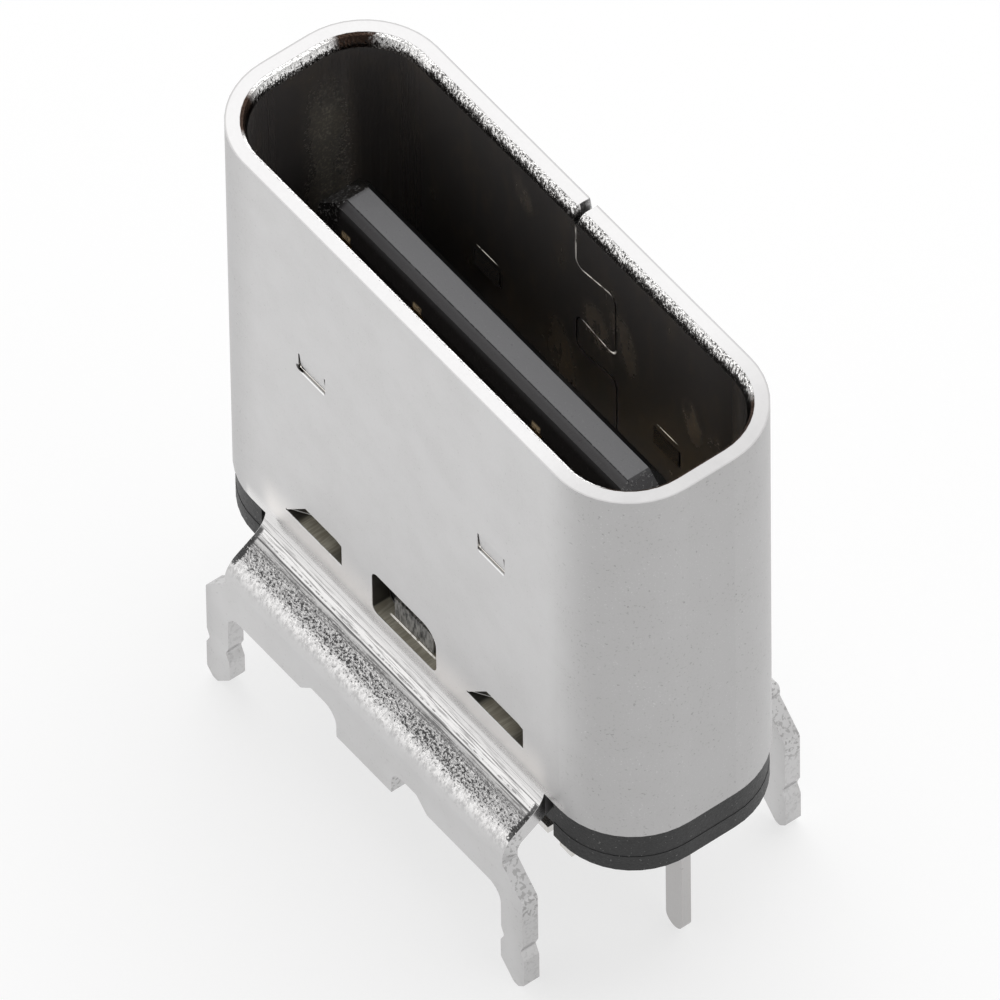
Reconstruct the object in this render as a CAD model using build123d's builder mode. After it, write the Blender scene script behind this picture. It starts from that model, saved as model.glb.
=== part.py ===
"""Upright type C receptacle for a printed circuit board.

Frame, in millimetres: the board's top face is z = 0 and the mouth faces up (+Z). X runs along the long side of
the mouth, Y through its short side, and the origin is the centre of the mouth's outline on the board.
"""
import os
from math import cos, radians, tan

from build123d import *

# Shell tube; its length follows from the row of terminals, its height from the cavity's floor
tongue_end_clearance = 0.825
mouth_width = 2.56
mouth_corner_radius = 0.90
shell_wall = 0.30
tube_edge_height = 1.78
lead_in_width = 0.07
lead_in_depth = 0.21
lead_in_lip_width = 0.03
lead_in_lip_length = 0.032

# Flared skirts, folded outwards from the foot of the tube, and the flat aprons below them
apron_sheet = 0.25
apron_stand_off = 0.695
apron_bend = 0.18
apron_edge_height = 0.27
skirt_end_inset = 0.185
skirt_slope = 33.0
skirt_root_height = 1.62
skirt_root_bend = 0.45
skirt_overlap_height = 2.00

# Middle foot of each apron, which rests on the board, and the relief notches beside it
foot_half_width = 0.585
foot_notch_reach = 0.76
foot_notch_slope = 0.22
foot_notch_top = 0.48
foot_root_radius = 0.26

# Four board legs
leg_end_inset = 1.33
leg_width = 0.465
leg_length = 1.39
leg_shoulder_height = 0.84
leg_shoulder_radius = 0.10
leg_root_radius = 0.26
leg_waist_depth = 0.62
leg_waist_cut = 0.06
leg_waist_length = 0.30
leg_bulge = 0.015
leg_tip_flat = 0.10
leg_tip_inner_taper = 0.27
leg_tip_outer_taper = 0.12
leg_tip_round = 0.06

# Windows in both long walls, where the housing's bosses latch; one upper corner is rounder
window_width = 1.36
window_height = 0.80
window_foot_drop = 0.41
window_corner_radius = 0.12
window_round_corner = 0.28

# Louvred dents beside the windows, cut along their lower edge and pressed inwards; one side slants
dent_spacing = 1.92
dent_width = 1.19
dent_height = 0.42
dent_slant = 0.42
dent_flank = 0.36
dent_foot_drop = 0.14
dent_press = 0.22
dent_slit = 0.03

# Lanced spring tabs, hinged at the top and pressed inwards
tab_spacing = 1.89
tab_width = 0.54
tab_length = 0.30
tab_foot_drop = 3.09
tab_press = 0.03
tab_slit = 0.025

# Seam down the back wall, locked by dovetails
seam_gap = 0.03
seam_mouth_width = 0.16
seam_mouth_depth = 0.32
dovetail_length = 0.83
dovetail_neck = 0.98
dovetail_head = 1.22
dovetail_corner_radius = 0.14
dovetail_upper_drop = 1.55
dovetail_lower_drop = 3.21

# Black housing under and inside the foot of the tube
housing_bottom_height = 1.01
housing_inset = 0.03
housing_fit = 0.01
housing_parting_height = 1.32
housing_parting_step = 0.006
housing_bottom_chamfer = 0.03
floor_height = 2.43
cavity_depth = 6.20
end_block_clearance = 0.145
skirt_pocket_inset = 0.14
boss_width = 0.82
boss_height = 0.36
boss_reach = 0.14
boss_sill_gap = 0.02

# Tongue, blocks and collar; their lengths follow from the row of terminals
tongue_side_margin = 0.47
block_side_margin = 0.145
collar_side_step = 0.105
tongue_thickness = 0.70
tongue_tip_depth = 1.48
tongue_tip_flat = 0.34
tongue_bevel_width = 0.11
tongue_bevel_drop = 0.10
tongue_taper_drop = 0.35
tongue_corner_length = 0.40
tongue_corner_drop = 0.32
collar_thickness = 1.24
collar_height = 0.86
latch_notch_drop = 1.55
latch_notch_length = 1.20
latch_notch_depth = 0.16

# Shield plate inside the tongue, with a ground peg at each end
plate_thickness = 0.15
plate_side_margin = 0.10
plate_top_drop = 0.42
plate_hole_width = 0.90
plate_hole_height = 1.40
plate_hole_spacing = 2.60
plate_hole_centre_drop = 2.35
plate_shoulder_drop = 0.38
plate_shoulder_height = 0.60
plate_slot_clearance = 0.02
peg_offset = 0.375
peg_width = 0.34

# Terminals
contact_spacing = 0.50
contacts_per_row = 12
contact_width = 0.25
contact_thickness = 0.12
contact_bend = 0.14
long_pad_drop = 0.50
short_pad_drop = 1.00
long_pad_positions = (1, 4, 9, 12)
tail_line = 0.46
tail_jog_drop = 0.23
tail_jog_height = 0.30
foot_toe = 1.09

# Ground plates round the tongue's root
shield_thickness = 0.10
shield_end_margin = 0.35
shield_floor_gap = 0.02
shield_lip = 0.22
shield_bend = 0.06
shield_bump_spacing = 2.00
shield_bump_width = 0.90
shield_bump_height = 0.34
shield_bump_rise = 0.07

# Lengths that follow from the row of terminals
row_length = (contacts_per_row - 1) * contact_spacing + contact_width
tongue_length = row_length + 2 * tongue_side_margin
block_length = row_length + 2 * block_side_margin
collar_length = tongue_length + 2 * collar_side_step
shield_length = collar_length - 2 * shield_end_margin
mouth_length = tongue_length + 2 * tongue_end_clearance
peg_centre = tongue_length / 2 + peg_offset

# Sizes that follow from the ones above
shell_length = mouth_length + 2 * shell_wall
shell_width = mouth_width + 2 * shell_wall
shell_corner_radius = mouth_corner_radius + shell_wall
wall_outer = shell_width / 2
wall_inner = mouth_width / 2
apron_face = wall_outer + apron_stand_off
rim_height = floor_height + cavity_depth
tip_height = rim_height - tongue_tip_depth
tongue_face = tongue_thickness / 2
collar_face = collar_thickness / 2
collar_top = floor_height + collar_height
plate_face = plate_thickness / 2
pad_line = tongue_face - contact_thickness / 2
block_top = tip_height - tongue_bevel_drop - tongue_taper_drop
block_root_thickness = collar_face - plate_face
apron_inner = apron_face - apron_sheet
leg_centre = shell_length / 2 - leg_end_inset
skirt_half_length = leg_centre - skirt_end_inset
end_block_start = skirt_half_length + end_block_clearance
leg_inner = leg_centre - leg_width / 2
leg_outer = leg_centre + leg_width / 2
window_foot_height = floor_height - window_foot_drop
window_top_height = window_foot_height + window_height
dent_foot_height = floor_height - dent_foot_drop
dent_top_height = dent_foot_height + dent_height
tab_foot_height = rim_height - tab_foot_drop
tab_top_height = tab_foot_height + tab_length
dovetail_upper_centre = rim_height - dovetail_upper_drop
dovetail_lower_centre = rim_height - dovetail_lower_drop
plate_hole_centre_height = tip_height - plate_hole_centre_drop
plate_shoulder_top = floor_height - plate_shoulder_drop
plate_shoulder_bottom = plate_shoulder_top - plate_shoulder_height
tail_jog_top = floor_height - tail_jog_drop
tail_jog_bottom = tail_jog_top - tail_jog_height


def finish(piece, node):
    """Label a finished piece and write it to its own file."""
    piece.label = node
    export_step(piece, f"parts/{node}.step")


def front_plane(y):
    """Sketch plane facing the viewer at the given Y: sketch x is X, sketch y is Z, the normal is -Y."""
    return Plane(origin=(0, y, 0), x_dir=(1, 0, 0), z_dir=(0, -1, 0))


def section_plane(x):
    """Cross-section plane at the given X: sketch x is Y, sketch y is Z, the normal is +X."""
    return Plane(origin=(x, 0, 0), x_dir=(0, 1, 0), z_dir=(1, 0, 0))


def skirt_height(y, drop):
    """Height of the skirt's slope at a distance y from the middle plane, the given drop under its outer face."""
    return skirt_root_height - (y - wall_outer) * tan(radians(skirt_slope)) - drop


os.makedirs("parts", exist_ok=True)

# Shell, one folded piece of plated sheet

# Dent that a louvre presses into the wall, as a body beside the wall's outer face at y = 0: its plan narrows
# inwards at one end, its cross-section is a wedge, and its outline on the wall slants at the same end
with BuildPart() as dent:
    with BuildSketch(Plane.XY.offset(dent_foot_height)):
        with BuildLine():
            Polyline(
                (-dent_width / 2, 0),
                (dent_width / 2, 0),
                (dent_width / 2, dent_press),
                (-dent_width / 2 + dent_flank, dent_press),
                close=True,
            )
        make_face()
    extrude(amount=dent_height)
    with BuildSketch(section_plane(-dent_width)):
        with BuildLine():
            Polyline(
                (0, dent_foot_height),
                (dent_press, dent_foot_height),
                (0, dent_top_height),
                close=True,
            )
        make_face()
    extrude(amount=2 * dent_width, mode=Mode.INTERSECT)
    with BuildSketch(front_plane(dent_press)):
        with BuildLine():
            Polyline(
                (-dent_width / 2, dent_foot_height),
                (dent_width / 2, dent_foot_height),
                (dent_width / 2, dent_top_height - dent_slit),
                (dent_width / 2 - dent_press / 2, dent_top_height),
                (-dent_width / 2 + dent_slant, dent_top_height),
                close=True,
            )
        make_face()
    extrude(amount=dent_press, mode=Mode.INTERSECT)

# Dent that a lanced tab leaves in the wall's outer face
with BuildPart() as tab_dent:
    with BuildSketch(section_plane(-tab_width / 2)):
        with BuildLine():
            Polyline(
                (0, tab_foot_height),
                (tab_press, tab_foot_height),
                (0, tab_top_height),
                close=True,
            )
        make_face()
    extrude(amount=tab_width)

with BuildPart() as shell:
    # Tube
    with BuildSketch(Plane.XY.offset(tube_edge_height)):
        RectangleRounded(shell_length, shell_width, shell_corner_radius)
    extrude(amount=rim_height - tube_edge_height)

    # Flared skirts: wall, bend, slope, bend and apron in one cross-section, carried along X
    slope_drop = apron_sheet / cos(radians(skirt_slope))
    for side in (-1, 1):
        with BuildSketch(section_plane(-skirt_half_length)):
            with BuildLine():
                FilletPolyline(
                    (0, skirt_overlap_height),
                    (side * wall_outer, skirt_overlap_height),
                    (side * wall_outer, skirt_root_height),
                    (side * apron_face, skirt_height(apron_face, 0)),
                    (side * apron_face, leg_shoulder_height),
                    (side * apron_inner, leg_shoulder_height),
                    (side * apron_inner, skirt_height(apron_inner, slope_drop)),
                    (0, skirt_height(0, slope_drop)),
                    radius=[0, 0, skirt_root_bend, apron_bend + apron_sheet, 0, 0, apron_bend, 0],
                    close=True,
                )
            make_face()
        extrude(amount=2 * skirt_half_length)

        # Flat apron with its middle foot, relief notches and legs, half of the outline at a time
        for end in (-1, 1):
            shoulder = leg_outer - skirt_half_length
            bulge_outer = leg_outer + leg_bulge
            bulge_inner = leg_inner - leg_bulge
            waist_top = -leg_waist_depth + leg_waist_length / 2
            waist_foot = -leg_waist_depth - leg_waist_length / 2
            knee = bulge_inner + leg_tip_inner_taper
            notch_outer = foot_half_width + foot_notch_reach
            outline = [
                (0, leg_shoulder_height, 0),
                (skirt_half_length, leg_shoulder_height, 0),
                (leg_outer, leg_shoulder_height - shoulder, leg_shoulder_radius),
                (leg_outer, waist_top, 0),
                (leg_outer - leg_waist_cut, -leg_waist_depth, leg_waist_cut),
                (bulge_outer, waist_foot, leg_tip_round),
                (bulge_outer, -leg_length + leg_tip_outer_taper, leg_tip_round),
                (knee + leg_tip_flat, -leg_length, leg_tip_round),
                (knee, -leg_length, leg_tip_round),
                (bulge_inner, -leg_length + leg_tip_inner_taper, leg_tip_round),
                (bulge_inner, waist_foot, leg_tip_round),
                (leg_inner + leg_waist_cut, -leg_waist_depth, leg_waist_cut),
                (leg_inner, waist_top, 0),
                (leg_inner, apron_edge_height, leg_root_radius),
                (notch_outer, apron_edge_height, leg_tip_round),
                (notch_outer - foot_notch_slope, foot_notch_top, leg_tip_round),
                (foot_half_width, foot_notch_top, foot_root_radius),
                (foot_half_width, 0, 0),
                (0, 0, 0),
            ]
            with BuildSketch(front_plane(side * (apron_face + apron_inner) / 2)):
                with BuildLine():
                    FilletPolyline(
                        *[(end * x, z) for x, z, bend in outline],
                        radius=[bend for x, z, bend in outline],
                        close=True,
                    )
                make_face()
            extrude(amount=apron_sheet / 2, both=True)

    # Mouth, right through the tube, and the lead-in round its rim, steep with a flatter lip
    with BuildSketch(Plane.XY):
        RectangleRounded(mouth_length, mouth_width, mouth_corner_radius)
    extrude(amount=rim_height, mode=Mode.SUBTRACT)
    rim_face = shell.faces().sort_by(Axis.Z)[-1]
    chamfer(rim_face.inner_wires()[0].edges(), lead_in_width, lead_in_depth, reference=rim_face)
    rim_face = shell.faces().sort_by(Axis.Z)[-1]
    chamfer(rim_face.inner_wires()[0].edges(), lead_in_lip_width, lead_in_lip_length, reference=rim_face)

    # Inward bulges of the louvres and the lanced tabs, the same in both long walls
    for turn in (0, 180):
        with Locations(Rotation(0, 0, turn)):
            with Locations((-dent_spacing, -wall_inner), (dent_spacing, -wall_inner)):
                add(dent.part)
            with Locations((-tab_spacing, -wall_inner), (tab_spacing, -wall_inner)):
                add(tab_dent.part)
            with Locations((-dent_spacing, -wall_outer), (dent_spacing, -wall_outer)):
                add(dent.part, mode=Mode.SUBTRACT)
            with Locations((-tab_spacing, -wall_outer), (tab_spacing, -wall_outer)):
                add(tab_dent.part, mode=Mode.SUBTRACT)

    # Windows, louvre slits and tab slits, cut through both long walls at once
    with BuildSketch(front_plane(0)):
        with BuildLine():
            FilletPolyline(
                (-window_width / 2, window_foot_height),
                (window_width / 2, window_foot_height),
                (window_width / 2, window_top_height),
                (-window_width / 2, window_top_height),
                radius=[window_corner_radius, window_corner_radius, window_round_corner, window_corner_radius],
                close=True,
            )
        make_face()
        with Locations(
            (-dent_spacing, dent_foot_height + dent_slit / 2),
            (dent_spacing, dent_foot_height + dent_slit / 2),
        ):
            Rectangle(dent_width, dent_slit)
        for side in (-1, 1):
            with BuildLine():
                Polyline(
                    (side * tab_spacing - tab_width / 2, tab_top_height),
                    (side * tab_spacing - tab_width / 2, tab_foot_height),
                    (side * tab_spacing + tab_width / 2, tab_foot_height),
                    (side * tab_spacing + tab_width / 2, tab_top_height),
                )
            trace(line_width=tab_slit)
    extrude(amount=wall_outer, both=True, mode=Mode.SUBTRACT)

    # Seam with its dovetails and its flared mouth, through the back wall, skirt and apron
    with BuildSketch(front_plane(apron_face)):
        with BuildLine():
            FilletPolyline(
                (0, rim_height + seam_gap),
                (0, dovetail_upper_centre + dovetail_neck / 2),
                (dovetail_length, dovetail_upper_centre + dovetail_head / 2),
                (dovetail_length, dovetail_upper_centre - dovetail_head / 2),
                (0, dovetail_upper_centre - dovetail_neck / 2),
                (0, dovetail_lower_centre + dovetail_neck / 2),
                (dovetail_length, dovetail_lower_centre + dovetail_head / 2),
                (dovetail_length, dovetail_lower_centre - dovetail_head / 2),
                (0, dovetail_lower_centre - dovetail_neck / 2),
                (0, -seam_gap),
                radius=dovetail_corner_radius,
            )
        trace(line_width=seam_gap)
        with BuildLine():
            Polyline(
                (-seam_mouth_width / 2, rim_height),
                (seam_mouth_width / 2, rim_height),
                (0, rim_height - seam_mouth_depth),
                close=True,
            )
        make_face()
    extrude(amount=apron_face - wall_inner + dent_press, mode=Mode.SUBTRACT)
finish(shell.part, "shell")

# Housing, moulded in black plastic

with BuildPart() as housing:
    # Base seen below the shell, with its parting step
    base_length = shell_length - 2 * housing_inset
    base_width = shell_width - 2 * housing_inset
    base_radius = shell_corner_radius - housing_inset
    with BuildSketch(Plane.XY.offset(housing_bottom_height)):
        RectangleRounded(base_length, base_width, base_radius)
    extrude(amount=housing_parting_height - housing_bottom_height)
    chamfer(housing.edges().group_by(Axis.Z)[0], housing_bottom_chamfer)
    with BuildSketch(Plane.XY.offset(housing_parting_height)):
        RectangleRounded(
            base_length - 2 * housing_parting_step,
            base_width - 2 * housing_parting_step,
            base_radius - housing_parting_step,
        )
    extrude(amount=tube_edge_height - housing_parting_height)

    # Room for the skirts' bends between the two end blocks
    pocket_length = 2 * end_block_start
    plug_length = mouth_length - 2 * housing_fit
    plug_width = mouth_width - 2 * housing_fit
    with BuildSketch(Plane.XY.offset(housing_bottom_height)):
        Rectangle(pocket_length, shell_width)
        Rectangle(pocket_length, base_width - 2 * skirt_pocket_inset, mode=Mode.SUBTRACT)
    extrude(amount=tube_edge_height - housing_bottom_height, mode=Mode.SUBTRACT)
    with BuildSketch(Plane.XY.offset(housing_parting_height)):
        Rectangle(pocket_length, shell_width)
        Rectangle(pocket_length, plug_width, mode=Mode.SUBTRACT)
    extrude(amount=tube_edge_height - housing_parting_height, mode=Mode.SUBTRACT)

    # Plug that fills the foot of the tube up to the cavity's floor
    with BuildSketch(Plane.XY.offset(housing_parting_height)):
        RectangleRounded(plug_length, plug_width, mouth_corner_radius - housing_fit)
    extrude(amount=floor_height - housing_parting_height)

    # Bosses that latch in the shell's windows
    boss_centre_height = window_foot_height + boss_sill_gap + boss_height / 2
    with BuildSketch(front_plane(0)):
        with Locations((0, boss_centre_height)):
            Rectangle(boss_width, boss_height)
    extrude(amount=wall_inner + boss_reach, both=True)

    # Clearance behind the louvres
    for turn in (0, 180):
        with Locations(Rotation(0, 0, turn)):
            with Locations((-dent_spacing, -wall_inner), (dent_spacing, -wall_inner)):
                add(dent.part, mode=Mode.SUBTRACT)

    # Slot for the tongue's collar and, at its ends, for the shield plate's shoulders and pegs
    with BuildSketch(Plane.XY.offset(housing_bottom_height)):
        Rectangle(collar_length, collar_thickness)
    extrude(amount=floor_height - housing_bottom_height, mode=Mode.SUBTRACT)
    with BuildSketch(Plane.XY.offset(housing_bottom_height)):
        Rectangle(
            2 * peg_centre + peg_width + 2 * plate_slot_clearance,
            plate_thickness + 2 * plate_slot_clearance,
        )
    extrude(amount=plate_shoulder_top + plate_slot_clearance - housing_bottom_height, mode=Mode.SUBTRACT)
finish(housing.part, "housing")

# Shield plate inside the tongue

with BuildPart() as mid_plate:
    plate_half_length = tongue_length / 2 - plate_side_margin
    peg_outer = peg_centre + peg_width / 2
    with BuildSketch(front_plane(0)):
        with BuildLine():
            Polyline(
                (-plate_half_length, tip_height - plate_top_drop),
                (plate_half_length, tip_height - plate_top_drop),
                (plate_half_length, plate_shoulder_top),
                (peg_outer, plate_shoulder_top),
                (peg_outer, plate_shoulder_bottom),
                (-peg_outer, plate_shoulder_bottom),
                (-peg_outer, plate_shoulder_top),
                (-plate_half_length, plate_shoulder_top),
                close=True,
            )
        make_face()
        for side in (-1, 1):
            with BuildLine():
                FilletPolyline(
                    (side * peg_outer, plate_shoulder_top),
                    (side * peg_outer, -leg_length),
                    (side * (peg_outer - peg_width), -leg_length),
                    (side * (peg_outer - peg_width), plate_shoulder_top),
                    radius=[0, peg_width * 0.49, peg_width * 0.49, 0],
                    close=True,
                )
            make_face()
        with GridLocations(plate_hole_spacing, 0, 2, 1):
            with Locations((0, plate_hole_centre_height)):
                Rectangle(plate_hole_width, plate_hole_height, mode=Mode.SUBTRACT)
    extrude(amount=plate_face, both=True)
finish(mid_plate.part, "mid_plate")

# Terminals: a pad along the tongue, a jog in its root, a tail and a solder foot

contacts = {-1: [], 1: []}
for side, row in ((-1, "a"), (1, "b")):
    for position in range(1, contacts_per_row + 1):
        pad_drop = long_pad_drop if position in long_pad_positions else short_pad_drop
        middle = (contacts_per_row + 1) / 2
        x = -side * (position - middle) * contact_spacing
        with BuildPart() as contact:
            with BuildSketch(section_plane(x)):
                with BuildLine():
                    FilletPolyline(
                        (side * pad_line, tip_height - pad_drop),
                        (side * pad_line, tail_jog_top),
                        (side * tail_line, tail_jog_bottom),
                        (side * tail_line, contact_thickness / 2),
                        (side * foot_toe, contact_thickness / 2),
                        radius=contact_bend,
                    )
                trace(line_width=contact_thickness)
            extrude(amount=contact_width / 2, both=True)
        contacts[side].append(contact.part)
        finish(contact.part, f"contact_{row}{position}")

# Mouldings that hold the two rows of terminals against the shield plate

blocks = {}
for side, name in ((-1, "front"), (1, "back")):
    with BuildPart() as block:
        with BuildSketch(Plane.XY.offset(housing_bottom_height)):
            with Locations((0, side * (plate_face + tongue_face) / 2)):
                Rectangle(block_length, tongue_face - plate_face)
        extrude(amount=block_top - housing_bottom_height)
        with BuildSketch(Plane.XY.offset(housing_bottom_height)):
            with Locations((0, side * (plate_face + collar_face) / 2)):
                Rectangle(block_length, block_root_thickness)
        extrude(amount=floor_height - housing_bottom_height)
        if side < 0:
            # Studs through the shield plate's holes
            with BuildSketch(front_plane(plate_face)):
                with GridLocations(plate_hole_spacing, 0, 2, 1):
                    with Locations((0, plate_hole_centre_height)):
                        Rectangle(plate_hole_width, plate_hole_height)
            extrude(amount=plate_thickness)
    blocks[side] = block

# Tongue, moulded round the plate and the blocks

with BuildPart() as tongue:
    with BuildSketch(section_plane(-tongue_length / 2)):
        with BuildLine():
            Polyline(
                (-tongue_tip_flat / 2, tip_height),
                (tongue_tip_flat / 2, tip_height),
                (tongue_tip_flat / 2 + tongue_bevel_width, tip_height - tongue_bevel_drop),
                (tongue_face, block_top),
                (tongue_face, housing_bottom_height),
                (-tongue_face, housing_bottom_height),
                (-tongue_face, block_top),
                (-tongue_tip_flat / 2 - tongue_bevel_width, tip_height - tongue_bevel_drop),
                close=True,
            )
        make_face()
    extrude(amount=tongue_length)
    with BuildSketch(front_plane(0)):
        with BuildLine():
            Polyline(
                (-tongue_length / 2, housing_bottom_height),
                (tongue_length / 2, housing_bottom_height),
                (tongue_length / 2, tip_height - tongue_corner_drop),
                (tongue_length / 2 - tongue_corner_length, tip_height),
                (-tongue_length / 2 + tongue_corner_length, tip_height),
                (-tongue_length / 2, tip_height - tongue_corner_drop),
                close=True,
            )
        make_face()
    extrude(amount=tongue_thickness, both=True, mode=Mode.INTERSECT)

    # Latch notches in the tongue's sides
    with BuildSketch(front_plane(0)):
        with GridLocations(tongue_length, 0, 2, 1):
            with Locations((0, tip_height - latch_notch_drop - latch_notch_length / 2)):
                Rectangle(2 * latch_notch_depth, latch_notch_length)
    extrude(amount=tongue_thickness, both=True, mode=Mode.SUBTRACT)

    # Collar at the root
    with BuildSketch(Plane.XY.offset(housing_bottom_height)):
        Rectangle(collar_length, collar_thickness)
    extrude(amount=collar_top - housing_bottom_height)
    add(mid_plate.part, mode=Mode.SUBTRACT)
    for side in (-1, 1):
        add(blocks[side].part, mode=Mode.SUBTRACT)
finish(tongue.part, "tongue")

for side, name in ((-1, "front"), (1, "back")):
    with blocks[side]:
        for terminal in contacts[side]:
            add(terminal, mode=Mode.SUBTRACT)
    finish(blocks[side].part, f"{name}_contact_block")

# Ground plates round the tongue's root, folded over the collar's edge

for side, name in ((-1, "front"), (1, "back")):
    with BuildPart() as ground_plate:
        with BuildSketch(section_plane(-shield_length / 2)):
            with BuildLine():
                FilletPolyline(
                    (side * collar_face, floor_height + shield_floor_gap),
                    (side * (collar_face + shield_thickness), floor_height + shield_floor_gap),
                    (side * (collar_face + shield_thickness), collar_top + shield_thickness),
                    (side * (collar_face - shield_lip), collar_top + shield_thickness),
                    (side * (collar_face - shield_lip), collar_top),
                    (side * collar_face, collar_top),
                    radius=[0, 0, shield_bend + shield_thickness / 2, 0, 0, 0],
                    close=True,
                )
            make_face()
        extrude(amount=shield_length)
        with BuildSketch(front_plane(side * (collar_face + shield_thickness))):
            with GridLocations(shield_bump_spacing, 0, 3, 1):
                with Locations((0, (floor_height + collar_top) / 2)):
                    Rectangle(shield_bump_width, shield_bump_height)
        extrude(amount=-side * shield_bump_rise, taper=30)
    finish(ground_plate.part, f"{name}_ground_plate")
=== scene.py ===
from math import cos, radians, sin

import bpy
from mathutils import Matrix, Vector


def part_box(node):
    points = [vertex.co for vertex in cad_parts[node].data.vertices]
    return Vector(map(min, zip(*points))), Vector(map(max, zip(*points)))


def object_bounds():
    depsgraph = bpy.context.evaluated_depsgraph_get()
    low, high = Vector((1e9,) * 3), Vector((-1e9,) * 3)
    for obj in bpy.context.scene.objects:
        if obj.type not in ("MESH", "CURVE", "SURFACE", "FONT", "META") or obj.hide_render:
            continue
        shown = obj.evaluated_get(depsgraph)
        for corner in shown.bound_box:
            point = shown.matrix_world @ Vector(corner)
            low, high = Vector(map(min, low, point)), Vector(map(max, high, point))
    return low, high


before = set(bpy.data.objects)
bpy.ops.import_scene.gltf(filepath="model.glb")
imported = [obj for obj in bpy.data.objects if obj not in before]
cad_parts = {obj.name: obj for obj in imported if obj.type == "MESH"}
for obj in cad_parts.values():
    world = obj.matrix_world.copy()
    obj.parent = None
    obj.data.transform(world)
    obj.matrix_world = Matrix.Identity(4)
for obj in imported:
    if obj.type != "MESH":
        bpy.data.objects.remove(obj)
cadBox = [list(corner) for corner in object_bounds()]
print("frame loaded:", len(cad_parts), "nodes")

mm = 0.001


class Wire:
    # an output socket that can stand in a sum: a + 2, 1 - a, a * b and so on each add a Math node
    def __init__(self, graph, socket):
        self.graph = graph
        self.socket = socket

    def math(self, operation, *values):
        return self.graph.node("Math", {"operation": operation}, dict(enumerate(values)))

    def __add__(self, other):
        return self.math("ADD", self, other)

    def __radd__(self, other):
        return self.math("ADD", other, self)

    def __sub__(self, other):
        return self.math("SUBTRACT", self, other)

    def __rsub__(self, other):
        return self.math("SUBTRACT", other, self)

    def __mul__(self, other):
        return self.math("MULTIPLY", self, other)

    def __rmul__(self, other):
        return self.math("MULTIPLY", other, self)

    def __truediv__(self, other):
        return self.math("DIVIDE", self, other)

    def __rtruediv__(self, other):
        return self.math("DIVIDE", other, self)

    def __pow__(self, other):
        return self.math("POWER", self, other)

    def __abs__(self):
        return self.math("ABSOLUTE", self)

    def sign(self):
        return self.math("SIGN", self)

    def atLeast(self, other):
        return self.math("MAXIMUM", self, other)

    def atMost(self, other):
        return self.math("MINIMUM", self, other)

    def rise(self, low, high):
        # 0 below low, 1 above high, a smooth step between; low may be the larger for a fall
        start, end = (0, 1) if low < high else (1, 0)
        limits = {"From Min": min(low, high), "From Max": max(low, high), "To Min": start, "To Max": end}
        return self.graph.node("MapRange", {"interpolation_type": "SMOOTHSTEP"}, {"Value": self, **limits})

    def between(self, low, fullLow, fullHigh, high):
        # 1 from fullLow to fullHigh, falling to 0 at low and high
        return self.rise(low, fullLow) * self.rise(high, fullHigh)

    def near(self, middle, half, full):
        # 1 within full of the middle, falling to 0 at half
        return abs(self - middle).rise(half, full)


class Graph:
    # the node tree of one material or of the world
    def __init__(self, owner):
        owner.use_nodes = True
        self.tree = owner.node_tree
        self.tree.nodes.clear()

    def node(self, kind, settings=None, inputs=None, output=0):
        made = self.tree.nodes.new("ShaderNode" + kind)
        for name, value in (settings or {}).items():
            setattr(made, name, value)
        for name, value in (inputs or {}).items():
            socket = made.inputs[name]
            if isinstance(value, Wire):
                self.tree.links.new(value.socket, socket)
            else:
                socket.default_value = value
        return Wire(self, made.outputs[output]) if made.outputs else None

    def place(self):
        # the piece's own coordinates in millimetres, whole and as x, y, z
        metres = self.node("TexCoord", output="Object")
        whole = self.node("VectorMath", {"operation": "SCALE"}, {0: metres, "Scale": 1 / mm}, "Vector")
        return whole, [self.node("SeparateXYZ", None, {0: whole}, axis) for axis in "XYZ"]

    def vector(self, x, y, z):
        return self.node("CombineXYZ", None, {"X": x, "Y": y, "Z": z})

    def noise(self, at, scale, detail=2.0, rough=0.5, stretch=(1, 1, 1)):
        # noise of about one spot per 1 / scale millimetres
        if stretch != (1, 1, 1):
            at = self.node("VectorMath", {"operation": "MULTIPLY"}, {0: at, 1: stretch}, "Vector")
        inputs = {"Vector": at, "Scale": scale, "Detail": detail, "Roughness": rough}
        return self.node("TexNoise", None, inputs)

    def blend(self, amount, first, second):
        settings = {"data_type": "RGBA", "blend_type": "MIX"}
        return self.node("Mix", settings, {"Factor": amount, 6: first, 7: second}, 2)

    def bump(self, height, depth, normal=None):
        # depth in millimetres for a height of 1, on top of another normal if one is given
        inputs = {"Strength": 1.0, "Distance": depth * mm, "Height": height}
        if normal:
            inputs["Normal"] = normal
        return self.node("Bump", None, inputs)

    def shader(self, **inputs):
        named = {key[0].upper() + key[1:].replace("_", " "): value for key, value in inputs.items()}
        return self.node("BsdfPrincipled", None, named)

    def layer(self, amount, below, above):
        return self.node("MixShader", None, {0: amount, 1: below, 2: above})

    def finish(self, shader):
        self.node("OutputMaterial", None, {0: shader})


def newMaterial(name):
    material = bpy.data.materials.new(name)
    return material, Graph(material)


def colour(r, g, b):
    return (r, g, b, 1)


black = colour(0, 0, 0)

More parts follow.
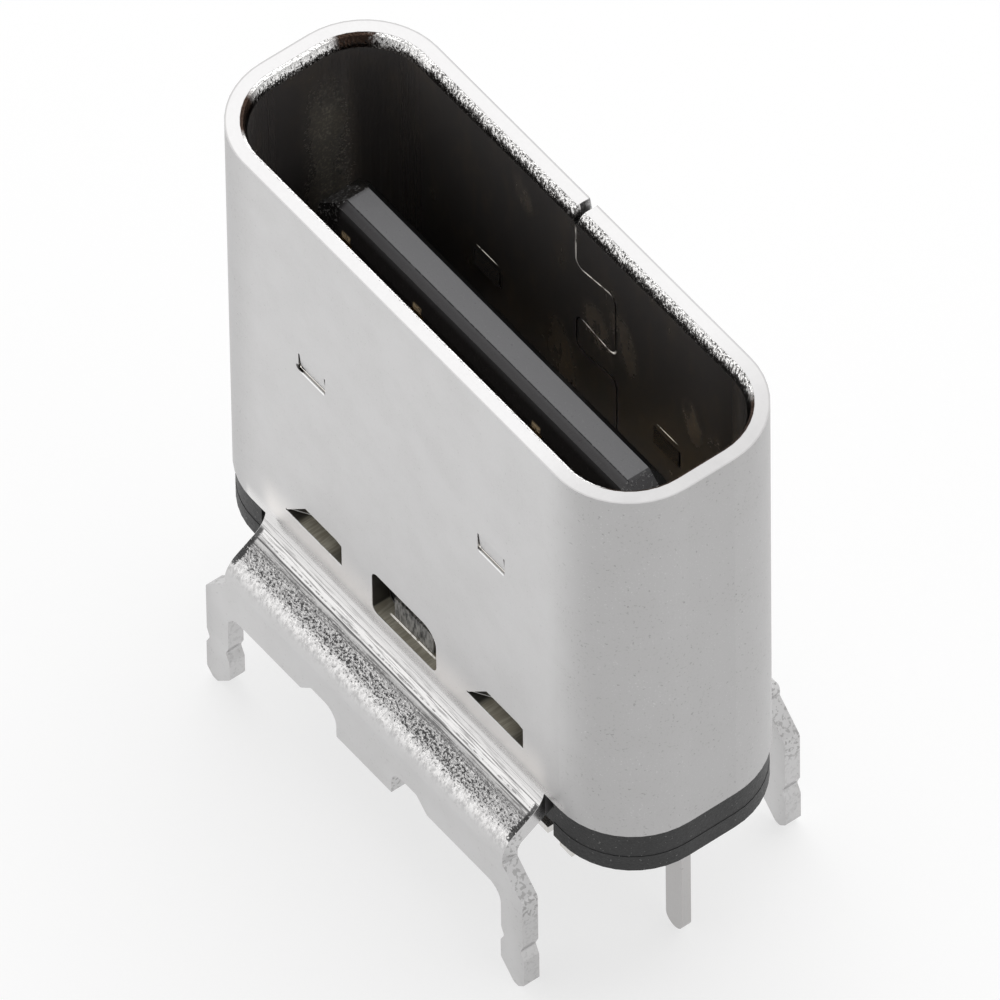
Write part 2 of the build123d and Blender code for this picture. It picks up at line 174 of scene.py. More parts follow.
# Sizes on the shell that its finishes follow, in mm: x along the mouth, y through it, z up from the board
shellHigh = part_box("shell")[1] / mm
wallThickness = 0.30
mouth = {
    "halfLength": shellHigh.x - wallThickness,
    "halfWidth": 1.28,
    "radius": 0.90,
    "rim": shellHigh.z,
    "leadIn": 0.21,
}
sheet = {
    "inner": mouth["halfWidth"],
    "outer": mouth["halfWidth"] + wallThickness,
    "rimOutline": wallThickness - 0.015,
    "foot": 1.90,
    "slitsFoot": 3.0,
    "slitsEnd": 3.2,
}
skirtPlan = {"end": 2.955, "legTop": 1.35, "legInner": 1.90}
window = {"half": 0.68, "sill": 2.02}
boss = {"half": 0.50, "root": 1.30, "face": 1.42}
dent = {"middle": 1.92, "half": 0.595, "foot": 2.29}
tab = {"middle": 1.89, "half": 0.27, "foot": 5.54, "crease": 5.95}
seam = {
    "slantLeft": 0.10,
    "slantRight": 0.76,
    "slantFoot": 6.3,
    "runFoot": 7.6,
    "mouthHalf": 0.10,
    "mouthDepth": 0.35,
}

# Places across the bend at the skirts' root, |y| - z in mm: where a part starts, or a stretch with soft ends
bend = {
    "skirt": (-0.50, -0.22),
    "apron": (0.95, 1.2),
    "streaks": (-0.30, 0.26, 0.48, 0.58),
    "cells": (0.34, 0.50, 0.88, 1.14),
    "burr": (0.0, 0.12, 0.85, 1.05),
    "spots": (0.30, 0.42, 1.02, 1.25),
}


class ShellPlaces:
    # what the shell's finishes share: places in mm, masks of its regions and two noises
    def __init__(self, graph):
        self.at, (self.x, self.y, self.z) = graph.place()
        self.wide, self.deep = abs(self.x), abs(self.y)
        self.depth = mouth["rim"] - self.z
        # distance outside the mouth's rounded outline
        self.reachX = (self.wide - (mouth["halfLength"] - mouth["radius"])).atLeast(0)
        reachY = (self.deep - (mouth["halfWidth"] - mouth["radius"])).atLeast(0)
        self.reach = (self.reachX ** 2 + reachY ** 2) ** 0.5
        self.out = self.reach - mouth["radius"]
        # place across the bend, growing from the wall over the skirt's slope to the flat apron below it
        self.across = self.deep - self.z
        self.apron = self.across.rise(*bend["apron"])
        # face is the outer side of the walls and skirts, and top is all but the skirts' sheared ends
        self.face = self.deep.rise(sheet["outer"] - 0.010, sheet["outer"] - 0.004)
        end = skirtPlan["end"]
        endFace = self.wide.between(end - 0.005, end - 0.0015, end + 0.003, end + 0.010)
        self.top = 1 - endFace * self.across.rise(-0.2, -0.1)
        self.skirt = self.face * self.across.rise(*bend["skirt"])
        self.upper = self.z.rise(sheet["slitsFoot"], sheet["slitsFoot"] + 0.1)
        self.tabSide = abs(self.wide - tab["middle"])
        self.plainNormal = graph.node("NewGeometry", output="Normal")
        self.dashes = graph.noise(self.at, 11, 2, 0.6)
        self.cloud = graph.noise(self.at, 1.7, 3, 0.55)


# Nickel plate outside: satin walls, painted shade on the ends, a painted creamy reflection of the skirt
# beside the bend and a bright rim
nickel = {
    "colour": colour(0.625, 0.62, 0.62),
    "endColour": colour(0.43, 0.425, 0.425),
    "rimColour": colour(0.56, 0.555, 0.555),
    "creamColour": colour(0.89, 0.865, 0.845),
    "cloudColour": colour(0.42, 0.41, 0.40),
    "pitColour": colour(0.22, 0.215, 0.21),
    "glintColour": colour(0.85, 0.85, 0.85),
    "greyColour": colour(0.36, 0.355, 0.355),
    "darkColour": colour(0.055, 0.055, 0.055),
    "tornColour": colour(0.16, 0.155, 0.15),
    "edgeHighlightColour": colour(0.98, 0.98, 0.97),
    "edgeColour": colour(0.93, 0.92, 0.90),
    "blackColour": colour(0.018, 0.016, 0.014),
    "roughness": 0.36,
    "grain": 34,
}


def wallTone(graph, spot, fine):
    # satin and clouded, pitted mostly at the ends, with painted shade on the ends, a painted reflection of
    # the skirt beside the bend and painted glints
    x, z, wide, depth = spot.x, spot.z, spot.wide, spot.depth
    end = wide.rise(3.0, 3.9)
    specks = graph.noise(spot.at, 19, 1, 0.5).rise(0.70, 0.76)
    pits = graph.noise(spot.at, 24, 2, 0.65).rise(0.60, 0.74)
    cream = spot.face * spot.across.between(-1.15, -0.40, 0.2, 0.5) * wide.rise(3.1, 2.8) * spot.top
    # painted shade: the ends darker
    tone = graph.blend(end * 0.85, nickel["colour"], nickel["endColour"])
    # painted reflection of the bright skirt: a creamy tone on the walls beside the bend
    tone = graph.blend(cream * (0.55 + 0.9 * spot.cloud), tone, nickel["creamColour"])
    tone = graph.blend(spot.cloud.rise(0.25, 0.8) * 0.14, tone, nickel["cloudColour"])
    mottle = (pits * 0.55 * spot.cloud.rise(0.40, 0.60) + specks * 0.5) * (0.35 + 0.65 * end)
    tone = graph.blend(mottle, tone, nickel["pitColour"])
    glints = fine.rise(0.60, 0.72) * spot.cloud.rise(0.58, 0.44) * 0.25 * end
    tone = graph.blend(glints, tone, nickel["glintColour"])
    # the rim's flat face, greyer to the right, with painted shade along its outer outline where the edge
    # rounds over
    greyer = x.rise(2.4, 4.4) * (0.35 + 0.5 * spot.cloud)
    rimTone = graph.blend(greyer, nickel["rimColour"], nickel["greyColour"])
    outline = spot.out.rise(sheet["rimOutline"] - 0.017, sheet["rimOutline"]) * 0.8
    rimTone = graph.blend(outline, rimTone, nickel["greyColour"])
    tone = graph.blend(depth.rise(0.004, 0.001), tone, rimTone)
    # dark tear marks on the legs' sheared sides, strongest near the top
    sideways = abs(graph.node("SeparateXYZ", None, {0: spot.plainNormal})).rise(0.5, 0.8)
    legTop, legInner = skirtPlan["legTop"], skirtPlan["legInner"]
    legSide = sideways * z.rise(legTop, legTop - 0.1) * spot.deep.rise(legInner, legInner + 0.1)
    torn = (specks + graph.noise(spot.at, 17, 2, 0.6).rise(0.52, 0.60)).atMost(1.0) * legSide
    return graph.blend(torn * (0.14 + 0.36 * z.rise(-0.1, 0.2)), tone, nickel["tornColour"])


def edgeHighlightMarks(graph, spot, tone):
    # painted highlights on the edges under the windows, dents and tabs
    z, sill, foot, tabFoot = spot.z, window["sill"], dent["foot"], tab["foot"]
    underWindow = z.between(sill - 0.024, sill - 0.020, sill, sill + 0.004)
    underWindow = underWindow * spot.wide.rise(window["half"] - 0.02, window["half"] - 0.04)
    underDent = z.between(foot - 0.026, foot - 0.022, foot, foot + 0.004)
    underDent = underDent * spot.wide.near(dent["middle"], dent["half"] + 0.005, dent["half"] - 0.015)
    underTab = z.between(tabFoot - 0.056, tabFoot - 0.050, tabFoot + 0.001, tabFoot + 0.005)
    underTab = underTab * spot.tabSide.rise(tab["half"] - 0.005, tab["half"] - 0.015) * spot.face
    edgeHighlight = underWindow.atLeast(underDent) * spot.face * spot.dashes.rise(0.30, 0.46)
    tone = graph.blend(edgeHighlight.atLeast(underTab), tone, nickel["edgeHighlightColour"])
    # painted shade: a dark corner at the foot of the front's left tab
    aside = (spot.x + tab["middle"] + 0.257) * 0.7
    corner = (aside ** 2 + (z - tabFoot - 0.015) ** 2).rise(0.0040, 0.0018) * spot.y.rise(-1.3, -1.4)
    tone = graph.blend(corner, tone, nickel["blackColour"])
    # painted shade: the seam's open mouth in the back's rim, dark and broken
    half, depth = seam["mouthHalf"], seam["mouthDepth"]
    notch = spot.wide.rise(half + 0.01, half - 0.01) * spot.y.rise(1.2, 1.25)
    notch = notch * spot.depth.between(0.004, 0.012, depth - 0.01, depth + 0.01)
    notch = notch * (0.35 + 0.65 * spot.dashes.rise(0.40, 0.55))
    return graph.blend(notch * 0.75, tone, nickel["darkColour"])


# The bend at the skirts' root: stretched, so it shines more and breaks up into dark cells
stretched = {"colour": colour(0.76, 0.75, 0.745), "roughness": 0.22, "cellShare": 0.515}

# Draw lines along the root: place across the bend, half width, depth of tone, gaps
drawLines = (
    (-0.085, 0.012, 0.45, 0.3),
    (0.070, 0.016, 0.75, 0.2),
    (0.215, 0.022, 0.65, 0.8),
    (0.285, 0.026, 0.92, 0.0),
    (0.405, 0.014, 0.75, 0.4),
    (0.455, 0.012, 0.5, 0.7),
)


def drawnLines(graph, spot):
    # fine streaks first, then the marked lines, which waver a little along the root
    wobble = graph.noise(graph.vector(spot.x * 0.9, 0.0, 0.0), 1.0, 3, 0.6) - 0.5
    streaks = graph.noise(graph.vector(spot.x * 1.6, spot.across * 28, spot.deep * 0.5), 1.0, 3, 0.6)
    lines = streaks.rise(0.50, 0.62) * spot.across.between(*bend["streaks"]) * 0.6
    for middle, half, tone, gaps in drawLines:
        line = abs(spot.across - middle + wobble * 0.03).rise(half, half * 0.3) * tone
        if gaps:
            line = line * (1 - gaps * spot.dashes.rise(0.58, 0.46))
        lines = lines.atLeast(line)
    return lines * spot.top * (1 - spot.apron)


def bendShader(graph, spot, wall):
    # dark cells, dense at first and thinning towards the apron, over softer grey spots
    across, top = spot.across, spot.top
    slope = top * across.between(*bend["cells"])
    burr = top * spot.wide.rise(2.85, 2.90) * across.between(*bend["burr"])
    broad = graph.noise(spot.at, 1.1, 3, 0.6)
    grit = graph.noise(spot.at, 35, 2, 0.65, (0.8, 1, 1))
    soft = graph.noise(spot.at, 17, 3, 0.65, (1.3, 0.6, 0.9)).rise(0.38, 0.64)
    soft = soft * top * across.between(*bend["spots"])
    share = stretched["cellShare"] + across.rise(0.70, 1.0) * 0.14 + across.rise(0.58, 0.44) * 0.07
    share = share + (broad - 0.5) * 0.18 + spot.x.rise(1.6, 2.7) * 0.03
    cells = (grit - share + burr * 0.26).rise(-0.02, 0.045) * slope.atLeast(burr)
    bent = spot.skirt * (1 - spot.apron)
    tone = graph.blend(bent * top, wall, stretched["colour"])
    tone = graph.blend(soft * 0.62, tone, nickel["greyColour"])
    tone = graph.blend(drawnLines(graph, spot).atLeast(cells * 0.94), tone, nickel["darkColour"])
    tone = graph.blend((grit - 0.36).rise(0.0, -0.05) * slope, tone, nickel["edgeColour"])
    roughness = nickel["roughness"] + (stretched["roughness"] - nickel["roughness"]) * bent
    normal = graph.bump(grit * slope, 0.005)
    return graph.shader(base_Color=tone, metallic=1.0, roughness=roughness, normal=normal)


# Inside of the shell: the nickel painted darker as shade, darker still to the right, with painted brownish
# reflections on the back wall and a painted pale band of light on the left end
shellInside = {
    "colour": colour(0.27, 0.252, 0.246),
    "mottleColour": colour(0.38, 0.325, 0.26),
    "rightColour": colour(0.12, 0.11, 0.10),
    "brownColour": colour(0.62, 0.50, 0.36),
    "bandColour": colour(0.66, 0.62, 0.52),
    "creaseGlow": colour(0.5, 0.48, 0.42),
    "roughness": 0.24,
    "metallic": 0.70,
}

# Painted brownish reflections on the back wall's inside: x, z, half width, half height, strength
brownReflections = (
    (0.45, 6.55, 0.32, 0.55, 0.75),
    (1.00, 6.90, 0.30, 0.50, 0.55),
    (-0.30, 5.45, 0.30, 0.60, 0.8),
    (2.42, 6.70, 0.20, 0.38, 1.0),
    (-1.10, 7.95, 0.20, 0.30, 0.35),
    (3.1, 6.4, 0.35, 0.6, 0.35),
)


def insideShader(graph, spot):
    x, y, z = spot.x, spot.y, spot.z
    insideMottle = graph.noise(spot.at, 1.6, 3, 0.62, (1.5, 1, 0.55))
    patchBreakup = graph.noise(spot.at, 26, 2, 0.6).rise(0.50, 0.66)
    # painted brownish reflections on the back wall, broken up by the mottle
    brownReflection = 0
    for middle, height, halfX, halfZ, strength in brownReflections:
        far = ((x - middle) / halfX) ** 2 + ((z - height + (x - middle) * 0.5) / halfZ) ** 2
        brownReflection = far.rise(1.5, 0.0) * strength + brownReflection
    brownReflection = brownReflection * y.rise(0.9, 1.1) * insideMottle.rise(0.30, 0.58) * (0.55 + 0.45 * patchBreakup)
    # painted pale band of light on the left end
    band = y.near(0.42, 0.50, 0.0) * x.rise(-3.6, -3.9) * z.between(5.2, 5.8, 7.0, 8.3)
    band = band * (0.40 + 0.60 * patchBreakup)
    # painted shade: the inside is the nickel painted much darker, and darker still towards the right end
    tone = graph.blend(insideMottle.rise(0.45, 0.75) * 0.5, shellInside["colour"], shellInside["mottleColour"])
    tone = graph.blend(x.rise(2.6, 3.6) * 0.6, tone, shellInside["rightColour"])
    tone = graph.blend(brownReflection, tone, shellInside["brownColour"])
    tone = graph.blend(band, tone, shellInside["bandColour"])
    # the back tabs' creases catch the light
    crease = z.near(tab["crease"], 0.014, 0.006) * spot.tabSide.rise(0.25, 0.10)
    crease = crease * y.rise(1.2, 1.25) * spot.dashes.rise(0.36, 0.5)
    tone = graph.blend(crease, tone, nickel["edgeColour"])
    # the painted reflections and band are rougher and less metallic
    paintedPatches = brownReflection.atLeast(band)
    roughness = shellInside["roughness"] + (insideMottle - 0.5) * 0.2 + paintedPatches * 0.15
    metallic = shellInside["metallic"] - 0.35 * paintedPatches
    glow = graph.blend(crease, black, shellInside["creaseGlow"])
    finish = {"metallic": metallic, "roughness": roughness}
    return graph.shader(base_Color=tone, emission_Color=glow, emission_Strength=1.0, **finish)


# Lead-in: coined, so rounded over at the rim, with dark cells, denser towards the inside as painted shade,
# and painted shade on its rounded corners
coined = {
    "colour": colour(0.90, 0.89, 0.88),
    "cornerColour": colour(0.05, 0.032, 0.024),
    "cellColour": colour(0.035, 0.032, 0.030),
    "roughness": 0.20,
}


def leadInShader(graph, spot):
    x, y, depth = spot.x, spot.y, spot.depth
    coin = graph.noise(spot.at, 27, 2, 0.6, (1.2, 1.2, 0.5))
    # turned is 0 on the long sides and 1 on the ends
    turned = spot.reachX / spot.reach
    left, back = x.rise(-3.2, -3.3), y.rise(0.0, 0.3)
    # painted shade on the lead-in's rounded corners
    cornerShade = left * (1 - back) * turned.between(0.30, 0.50, 0.86, 0.97)
    cornerShade = cornerShade.atLeast(x.rise(3.2, 3.3) * turned.rise(0.40, 0.62))
    ragged = (turned + (coin - 0.5) * 0.3).rise(0.60, 0.76)
    cornerShade = cornerShade.atLeast(left * back * ragged * turned.rise(0.999, 0.95))
    backSide = x.rise(-3.2, -3.0) * back
    # dark speckle cells, denser with depth as painted shade
    cells = (coin - 0.70 + depth * 1.15 + backSide * 0.13).rise(-0.03, 0.06)
    tone = graph.blend(cornerShade, coined["colour"], coined["cornerColour"])
    tone = graph.blend(cells * 0.88, tone, coined["cellColour"])
    upward = graph.vector(0.0, 0.0, depth.rise(0.20, 0.0) * (0.85 - 0.25 * backSide))
    rounded = graph.node("VectorMath", {"operation": "ADD"}, {0: spot.plainNormal, 1: upward}, "Vector")
    rounded = graph.node("VectorMath", {"operation": "NORMALIZE"}, {0: rounded}, "Vector")
    normal = graph.bump(coin, 0.016, rounded)
    return graph.shader(base_Color=tone, metallic=1.0, roughness=coined["roughness"], normal=normal)


# Sheared faces inside the wall's thickness: brownish at windows and dents with painted shade and painted
# highlights, painted nearly black as shade in slits and seam
sheared = {
    "colour": colour(0.42, 0.385, 0.305),
    "hatchColour": colour(0.66, 0.63, 0.53),
    "stainColour": colour(0.22, 0.19, 0.14),
    "slitColour": colour(0.04, 0.037, 0.033),
    "glow": colour(0.55, 0.53, 0.50),
    "roughness": 0.40,
}


def shearedShader(graph, spot, slit):
    x, y, z, wide = spot.x, spot.y, spot.z, spot.wide
    sill, dentFoot, tabFoot = window["sill"], dent["foot"], tab["foot"]
    # the back is the front turned half round: along runs the same way on both, local is from a dent's middle
    along = x * (y * -1).sign()
    local = along - dent["middle"] * along.sign()
    dented = wide.rise(1.0, 1.1)
    # painted shade: the dents' ends and the faces under their louvres, and the windows' left faces above the
    # sill
    shade = local.rise(-0.26, -0.38).atLeast(local.rise(0.22, 0.45) * 0.8) * dented
    shade = shade.atLeast(z.between(dentFoot + 0.025, dentFoot + 0.035, 2.8, 2.9) * dented * 0.9)
    shade = shade.atLeast(along.rise(-0.50, -0.56) * z.rise(sill + 0.04, sill + 0.08) * (1 - dented))
    hatch = graph.noise(graph.vector(x * 34, y * 3, z * 3), 1.0)
    tone = graph.blend(hatch.rise(0.42, 0.66) * 0.7, sheared["colour"], sheared["hatchColour"])
    tone = graph.blend(spot.cloud.rise(0.45, 0.65) * 0.4, tone, sheared["stainColour"])
    tone = graph.blend(shade * 0.92, tone, nickel["blackColour"])
    # painted highlights on bright edges: the dents' slanted lip, and the sill along the foot of the
    # housing's boss, which also glows a little
    lip = z.between(dentFoot + 0.027, dentFoot + 0.031, dentFoot + 0.046, dentFoot + 0.052)
    lip = lip * local.rise(-0.20, -0.26) * dented
    bossFoot = z.rise(sill + 0.08, sill + 0.03) * spot.deep.near(boss["face"] + 0.018, 0.017, 0.009)
    bossFoot = bossFoot * wide.rise(boss["half"], boss["half"] - 0.06) * spot.dashes.rise(0.34, 0.46) * 0.8
    tone = graph.blend(lip.atLeast(bossFoot), tone, nickel["edgeColour"])
    # light caught on the seam's slanted run and on its run up to the mouth, and at the front tabs' feet
    start, end, foot, runFoot = seam["slantLeft"], seam["slantRight"], seam["slantFoot"], seam["runFoot"]
    slant = x.between(start - 0.04, start + 0.04, end - 0.04, end + 0.04)
    slant = slant * z.rise(foot - 0.1, foot + 0.1) * wide.rise(1.2, 1.1)
    run = z.rise(runFoot - 0.05, runFoot + 0.05) * wide.rise(0.5, 0.4) * 0.55
    frontTab = wide.rise(1.5, 1.55) * y.rise(0.1, -0.1)
    tabEdge = frontTab * z.rise(tabFoot + 0.016, tabFoot + 0.006)
    caught = (slant.atLeast(run) * spot.dashes.rise(0.38, 0.52) * 0.85).atLeast(tabEdge) * slit
    tabWall = frontTab * z.rise(tabFoot + 0.06, tabFoot + 0.12) * 0.3 * slit
    # painted shade: the faces in the slits and seam nearly black
    tone = graph.blend(slit, tone, sheared["slitColour"])
    tone = graph.blend(caught.atLeast(tabWall), tone, nickel["edgeColour"])
    glow = graph.blend(caught.atLeast(bossFoot), black, sheared["glow"])
    finish = {"metallic": 0.08 + 0.92 * slit, "roughness": sheared["roughness"]}
    return graph.shader(base_Color=tone, emission_Color=glow, emission_Strength=1.0, **finish)


def nickelMaterial():
    material, graph = newMaterial("nickelPlate")
    spot = ShellPlaces(graph)
    fine = graph.noise(spot.at, nickel["grain"], 2, 0.6)
    wall = edgeHighlightMarks(graph, spot, wallTone(graph, spot, fine))
    roughness = nickel["roughness"] + (fine - 0.5) * 0.18
    mixed = graph.shader(base_Color=wall, metallic=1.0, roughness=roughness, normal=graph.bump(fine, 0.0014))
    mixed = graph.layer(spot.skirt.rise(0.0, 0.02), mixed, bendShader(graph, spot, wall))
    # the lead-in is a ring just outside the mouth's outline, below the rim's flat face
    leadIn = spot.depth.between(0.0005, 0.003, mouth["leadIn"] - 0.005, mouth["leadIn"] + 0.025)
    leadIn = spot.out.rise(0.15, 0.12) * leadIn
    mixed = graph.layer(leadIn.rise(0.4, 0.6), mixed, leadInShader(graph, spot))
    # sheared faces lie between the wall's two sides, and in the upper slits a little further in
    inner, outer = sheet["inner"], sheet["outer"]
    cut = spot.deep.rise(inner + 0.012, inner + 0.020)
    cut = cut * (spot.deep + 0.022 * spot.upper).rise(outer - 0.006, outer - 0.012)
    cut = cut * spot.wide.rise(sheet["slitsEnd"], sheet["slitsEnd"] - 0.1)
    cut = cut * spot.depth.rise(0.3, 0.35) * spot.z.rise(sheet["foot"], sheet["foot"] + 0.05)
    mixed = graph.layer(cut.rise(0.3, 0.6), mixed, shearedShader(graph, spot, cut * spot.upper))
    foot = mouth["rim"] - mouth["leadIn"]
    inside = spot.out.rise(0.012, -0.002) * spot.z.rise(foot + 0.02, foot - 0.01)
    inside = inside * spot.z.rise(sheet["foot"], sheet["foot"] + 0.2)
    graph.finish(graph.layer(inside, mixed, insideShader(graph, spot)))
    return material


# Black moulded plastic of the housing, with the pale specks of its glass filling
housingPlastic = {
    "colour": colour(0.0085, 0.0085, 0.009),
    "cloudColour": colour(0.015, 0.015, 0.015),
    "speckColour": colour(0.17, 0.17, 0.165),
    "bossPatchColour": colour(0.36, 0.35, 0.33),
    "roughness": 0.52,
}


def housingMaterial():
    material, graph = newMaterial("housingPlastic")
    at, (x, y, z) = graph.place()
    fine = graph.noise(at, 26, 3, 0.6)
    cloud = graph.noise(at, 3, 2)
    specks = graph.noise(at, 25, 1, 0.5).rise(0.70, 0.76)
    base = graph.blend(cloud.rise(0.3, 0.7) * 0.5, housingPlastic["colour"], housingPlastic["cloudColour"])
    base = graph.blend(specks, base, housingPlastic["speckColour"])
    # the boss in each window is lighter in patches
    half, root, sill = boss["half"], boss["root"], window["sill"]
    onBoss = abs(y).rise(root, root + 0.01) * abs(x).rise(half, half - 0.05)
    onBoss = onBoss * z.rise(sill - 0.04, sill - 0.02)
    bossPatches = graph.noise(at, 22, 3, 0.6, (1, 1, 0.3))
    base = graph.blend(onBoss * bossPatches.rise(0.3, 0.65), base, housingPlastic["bossPatchColour"])
    normal = graph.bump(fine, 0.006)
    roughness = housingPlastic["roughness"] + (fine - 0.5) * 0.3
    graph.finish(graph.shader(base_Color=base, roughness=roughness, normal=normal))
    return material


# Smoother black plastic of the tongue, with painted light making its tip grey, and dark edges along the
# tip's two sides
tonguePlastic = {
    "colour": colour(0.034, 0.031, 0.031),
    "tipColour": colour(0.138, 0.138, 0.144),
    "leftColour": colour(0.012, 0.011, 0.011),
    "speckColour": colour(0.34, 0.34, 0.34),
    "edgeColour": colour(0.004, 0.004, 0.004),
    "top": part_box("tongue")[1].z / mm,
    "tipHalf": 0.17,
    "end": 3.0,
    "roughness": 0.32,
}

# Rolled tips of the long pads on the tongue's faces: middles in x, half width, top in z and face in y
longTips = {
    "middles": (-2.75, -1.25, 1.25, 2.75),
    "half": 0.10,
    "top": 6.78,
    "face": 0.34,
    "colour": colour(0.95, 0.74, 0.45),
}


def tongueMaterial():
    material, graph = newMaterial("tonguePlastic")
    at, (x, y, z) = graph.place()
    fine = graph.noise(at, 24, 3, 0.6)
    top, half, end = tonguePlastic["top"], tonguePlastic["tipHalf"], tonguePlastic["end"]
    ends = abs(x).rise(end - 0.15, end)
    specks = (graph.noise(at, 26, 2, 0.6) + ends * 0.06).rise(0.62, 0.70)
    # painted light: the tip lighter towards its top
    tip = z.rise(top - 0.25, top - 0.11) * (0.72 + 0.28 * z.rise(top - 0.05, top - 0.01))
    edge = y.near(-half, 0.012, 0.004) * z.rise(top - 0.03, top - 0.02)
    base = graph.blend(tip, tonguePlastic["colour"], tonguePlastic["tipColour"])
    base = graph.blend(x.rise(0.12 - end, 0.02 - end), base, tonguePlastic["leftColour"])
    base = graph.blend(specks * (0.10 + 0.7 * ends), base, tonguePlastic["speckColour"])
    base = graph.blend(edge * fine.rise(0.30, 0.5) * 0.9, base, tonguePlastic["edgeColour"])
    base = graph.blend(y.rise(half + 0.002, half + 0.008), base, tonguePlastic["edgeColour"])
    # the long pads' rolled tips show at the top of each face
    for middle in longTips["middles"]:
        shown = x.near(middle, longTips["half"], longTips["half"] - 0.03)
        shown = shown * abs(y).rise(longTips["face"] - 0.03, longTips["face"])
        shown = shown * z.rise(longTips["top"], longTips["top"] - 0.05) * fine.rise(0.25, 0.55)
        base = graph.blend(shown, base, longTips["colour"])
    normal = graph.bump(fine + ends * specks * 3, 0.003)
    roughness = tonguePlastic["roughness"] + (fine - 0.5) * 0.25
    graph.finish(graph.shader(base_Color=base, roughness=roughness, normal=normal))
    return material


# Terminals: gold on the pads, tin on the tails and feet, with worn brownish streaks along them
plating = {
    "gold": colour(0.86, 0.60, 0.25),
    "tin": colour(0.72, 0.71, 0.69),
    "worn": colour(0.45, 0.33, 0.18),
    "roughness": 0.26,
}


def contactMaterial():
    material, graph = newMaterial("contactPlating")
    at, axes = graph.place()
    fine = graph.noise(at, 30, 3, 0.6)
    rolled = graph.noise(at, 24, 2, 0.5, (1, 1, 0.08))
    base = graph.blend(axes[2].rise(2.3, 2.1), plating["gold"], plating["tin"])
    base = graph.blend(rolled.rise(0.4, 0.8) * 0.25, base, plating["worn"])
    normal = graph.bump(fine, 0.002)
    roughness = plating["roughness"] + (fine - 0.5) * 0.2
    graph.finish(graph.shader(base_Color=base, metallic=1.0, roughness=roughness, normal=normal))
    return material


# Stamped steel of the shield plate, its pegs and the ground plates
plateSteel = {
    "colour": colour(0.50, 0.49, 0.485),
    "speckColour": colour(0.22, 0.21, 0.20),
    "roughness": 0.33,
}


def plateMaterial():
    material, graph = newMaterial("plateSteel")
    at = graph.place()[0]
    fine = graph.noise(at, 30, 3, 0.6)
    rolled = graph.noise(at, 30, 2, 0.5, (1, 1, 0.06))
    specks = graph.noise(at, 14, 1).rise(0.72, 0.78)
    base = graph.blend(specks * 0.5, plateSteel["colour"], plateSteel["speckColour"])
    normal = graph.bump(fine * 0.4 + rolled * 0.6, 0.003)
    roughness = plateSteel["roughness"] + (fine - 0.5) * 0.2
    graph.finish(graph.shader(base_Color=base, metallic=1.0, roughness=roughness, normal=normal))
    return material


shellNickel = nickelMaterial()
blackHousing = housingMaterial()
blackTongue = tongueMaterial()
contactPlating = contactMaterial()
steelPlate = plateMaterial()
finishes = {
    "shell": shellNickel,
    "housing": blackHousing,
    "tongue": blackTongue,
    "front_contact_block": blackTongue,
    "back_contact_block": blackTongue,
    "mid_plate": steelPlate,
    "front_ground_plate": steelPlate,
    "back_ground_plate": steelPlate,
}
for name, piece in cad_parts.items():
    piece.data.materials.clear()
    piece.data.materials.append(finishes.get(name, contactPlating))
print("materials given to", len(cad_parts), "nodes")

# Floor under the legs: pale paper that keeps the shadow and lifts itself towards white where it is seen
floorPlan = {"halfSize": 900, "colour": colour(0.34, 0.34, 0.34), "lift": 0.68}


def makeFloor():
    half = floorPlan["halfSize"] * mm
    height = cadBox[0][2]
    corners = [(-half, -half, height), (half, -half, height), (half, half, height), (-half, half, height)]
    mesh = bpy.data.meshes.new("floor")
    mesh.from_pydata(corners, [], [(0, 1, 2, 3)])
    floor = bpy.data.objects.new("floor", mesh)
    bpy.context.collection.objects.link(floor)
    material, graph = newMaterial("floorPaper")
    seen = 0
    for ray in ("Is Camera Ray", "Is Glossy Ray", "Is Transmission Ray"):
        seen = graph.node("LightPath", output=ray).atLeast(seen)
    paper = graph.node("BsdfDiffuse", None, {"Color": floorPlan["colour"]})
    lift = graph.node("Emission", None, {"Color": colour(1, 1, 1), "Strength": seen * floorPlan["lift"]})
    graph.finish(graph.node("AddShader", None, {0: paper, 1: lift}))
    mesh.materials.append(material)


makeFloor()

# Soft studio light: a large panel above and behind on the left, in mm, aimed at the part's middle
keyPanel = {"direction": (-0.45, 0.42, 0.79), "distance": 300, "size": 470, "watts": 0.95, "middle": 4}


def makePanel(name, plan):
    lamp = bpy.data.lights.new(name, "AREA")
    lamp.shape = "SQUARE"
    lamp.size = plan["size"] * mm
    lamp.energy = plan["watts"]
    panel = bpy.data.objects.new(name, lamp)
    bpy.context.collection.objects.link(panel)
    towards = Vector(plan["direction"]).normalized()
    panel.location = (towards * plan["distance"] + Vector((0, 0, plan["middle"]))) * mm
    panel.rotation_mode = "QUATERNION"
    panel.rotation_quaternion = towards.to_track_quat("Z", "Y")


makePanel("keyPanel", keyPanel)

# The room: its plain level, its darkest, and its brighter or darker parts, each with a direction, the
# cosines where it ends and where it is full, and the level it adds
room = {"level": 0.42, "darkest": 0.03}
roomParts = (
    ((-0.52, -0.80, 0.25), 0.80, 0.93, 0.75),
    ((0.88, 0.35, 0.30), 0.88, 0.96, 0.70),
    ((-0.45, -0.28, 0.85), 0.940, 0.955, -0.36),
    ((0.62, -0.62, 0.45), 0.70, 0.92, -0.10),
    ((0.55, 0.80, 0.20), 0.88, 0.97, -0.10),
)


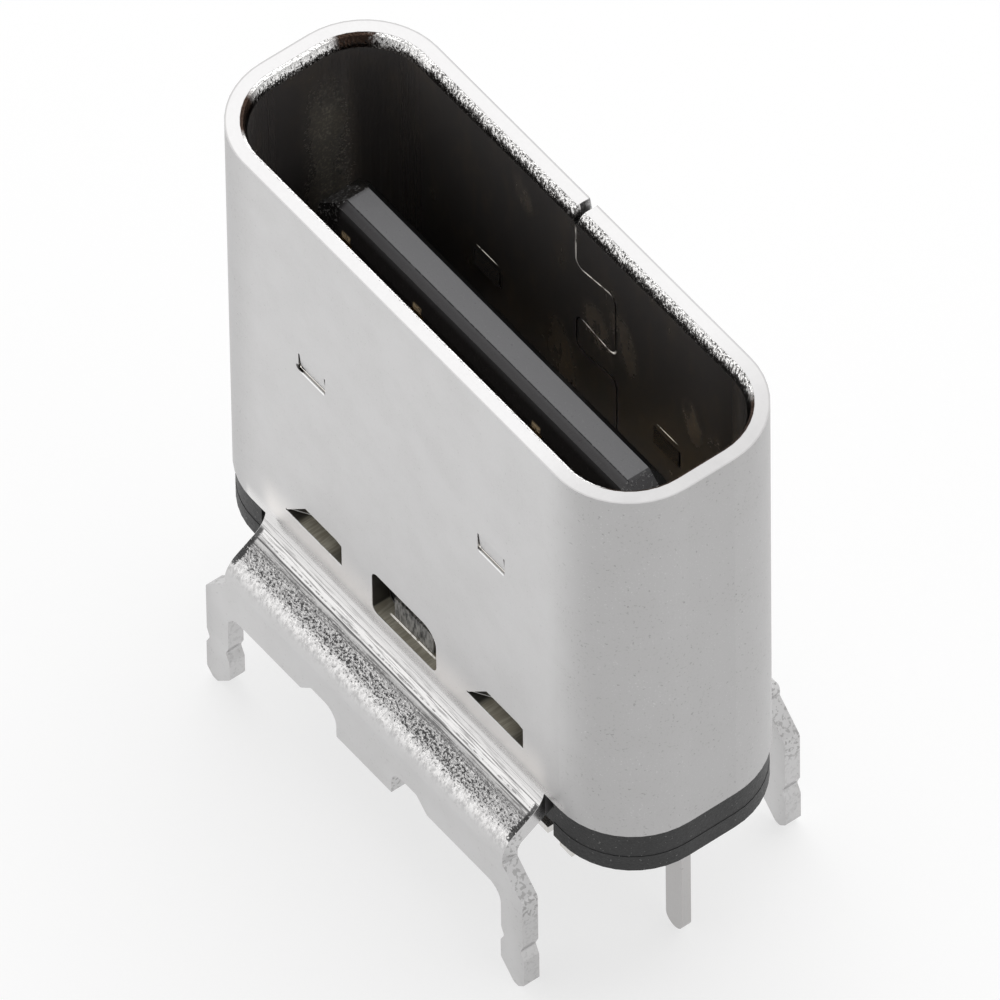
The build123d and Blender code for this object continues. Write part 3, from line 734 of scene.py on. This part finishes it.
def makeRoom():
    world = bpy.data.worlds.new("room")
    bpy.context.scene.world = world
    graph = Graph(world)
    direction = graph.node("TexCoord", output="Generated")
    level = 0
    for towards, edge, full, added in roomParts:
        unit = tuple(Vector(towards).normalized())
        facing = graph.node("VectorMath", {"operation": "DOT_PRODUCT"}, {0: direction, 1: unit}, "Value")
        level = facing.rise(edge, full) * added + level
    level = (level + room["level"]).atLeast(room["darkest"])
    background = graph.node("Background", None, {"Color": colour(1, 1, 1), "Strength": level})
    graph.node("OutputWorld", None, {0: background})


makeRoom()
print("floor and lights made")

# Camera, fitted to the photograph: the direction it looks from in degrees, the scale at the rim, the focal
# length in pixels, and how far the rim's middle lies from the picture's middle, to the right and down
view = {
    "azimuth": 52.98,
    "elevation": 51.204,
    "roll": 0.857,
    "pixelsPerMm": 78.095,
    "focalPixels": 32889.4,
    "offsetX": -3.776,
    "offsetY": -239.729,
    "frame": 1000,
    "sensor": 36.0,
    "clip": (0.05, 20),
}


def makeCamera():
    azimuth, elevation, roll = (radians(view[key]) for key in ("azimuth", "elevation", "roll"))
    back = Vector((sin(azimuth) * cos(elevation), -cos(azimuth) * cos(elevation), sin(elevation)))
    right = Vector((cos(azimuth), sin(azimuth), 0))
    down = (-back).cross(right)
    turnedRight = right * cos(roll) + down * sin(roll)
    turnedDown = down * cos(roll) - right * sin(roll)
    scale = view["pixelsPerMm"]
    centre = Vector((0, 0, mouth["rim"]))
    distance = view["focalPixels"] / scale
    sideways = turnedRight * (view["offsetX"] / scale) + turnedDown * (view["offsetY"] / scale)
    place = (centre - sideways + back * distance) * mm
    data = bpy.data.cameras.new("camera")
    data.sensor_width = view["sensor"]
    data.lens = view["focalPixels"] * view["sensor"] / view["frame"]
    data.clip_start, data.clip_end = view["clip"]
    camera = bpy.data.objects.new("camera", data)
    bpy.context.collection.objects.link(camera)
    axes = Matrix((turnedRight, -turnedDown, back)).transposed()
    camera.matrix_world = Matrix.Translation(place) @ axes.to_4x4()
    bpy.context.scene.camera = camera


makeCamera()
bpy.context.scene.view_settings.view_transform = "Standard"
